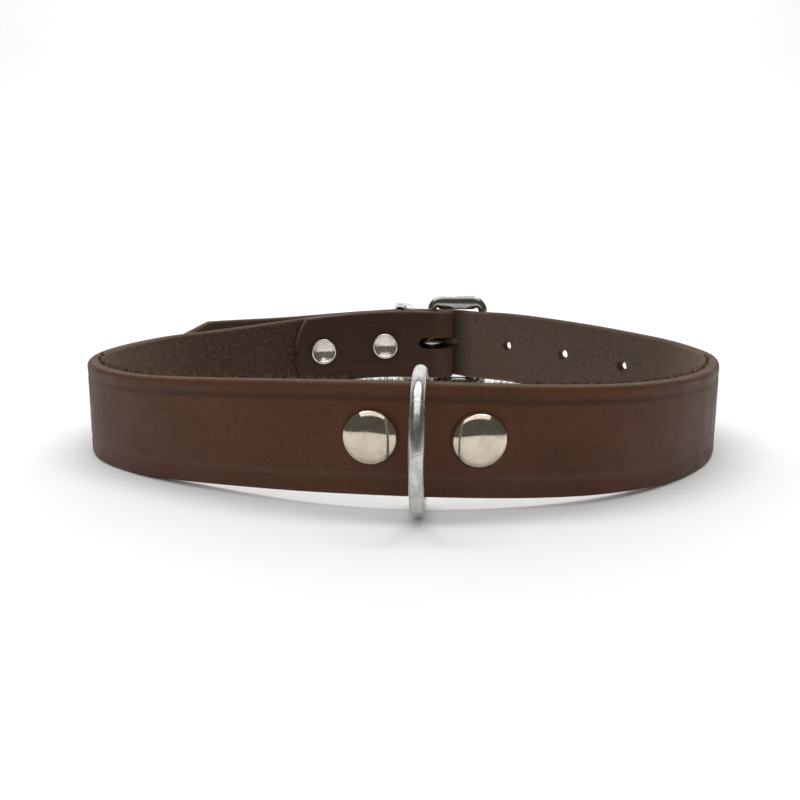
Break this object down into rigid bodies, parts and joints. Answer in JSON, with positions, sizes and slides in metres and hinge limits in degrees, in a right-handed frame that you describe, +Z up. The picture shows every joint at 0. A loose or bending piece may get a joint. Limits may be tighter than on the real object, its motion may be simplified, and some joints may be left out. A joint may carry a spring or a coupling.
{
  "type": "leather dog collar",
  "caption": "Flat leather dog collar buckled into a loop, with a wire ring for a lead, domed rivets, a heel-bar buckle and a metal keeper.",
  "frame": {"origin": "under the middle of the collar's box, on the surface that it stands on", "axes": "+Z up, the ring for a lead faces -Y, the buckle is at the back"},
  "size_m": [0.183, 0.1836, 0.0367],
  "materials": {
    "leather": "dark brown waxed leather, creased along both edges, raw flesh side",
    "nickel": "bright nickel plate",
    "steel": "darker polished steel"
  },
  "bodies": {
    "collar": {"strap": "leather", "buckle_frame": "steel", "buckle_tongue": "steel", "keeper_loop": "steel", "front_cap_left": "nickel", "front_cap_right": "nickel", "front_post_left": "nickel", "front_post_right": "nickel", "rear_cap_left": "nickel", "rear_cap_right": "nickel", "rear_post_left": "nickel", "rear_post_right": "nickel"},
    "ring": {"d_ring": "nickel"}
  },
  "joints": [
    {"name": "ring_swing", "type": "hinge", "parent": "collar", "child": "ring", "pos_m": [0.00346, -0.06949, 0.01625], "axis": [0, 0, 1], "range_deg": [-50, 50]}
  ]
}
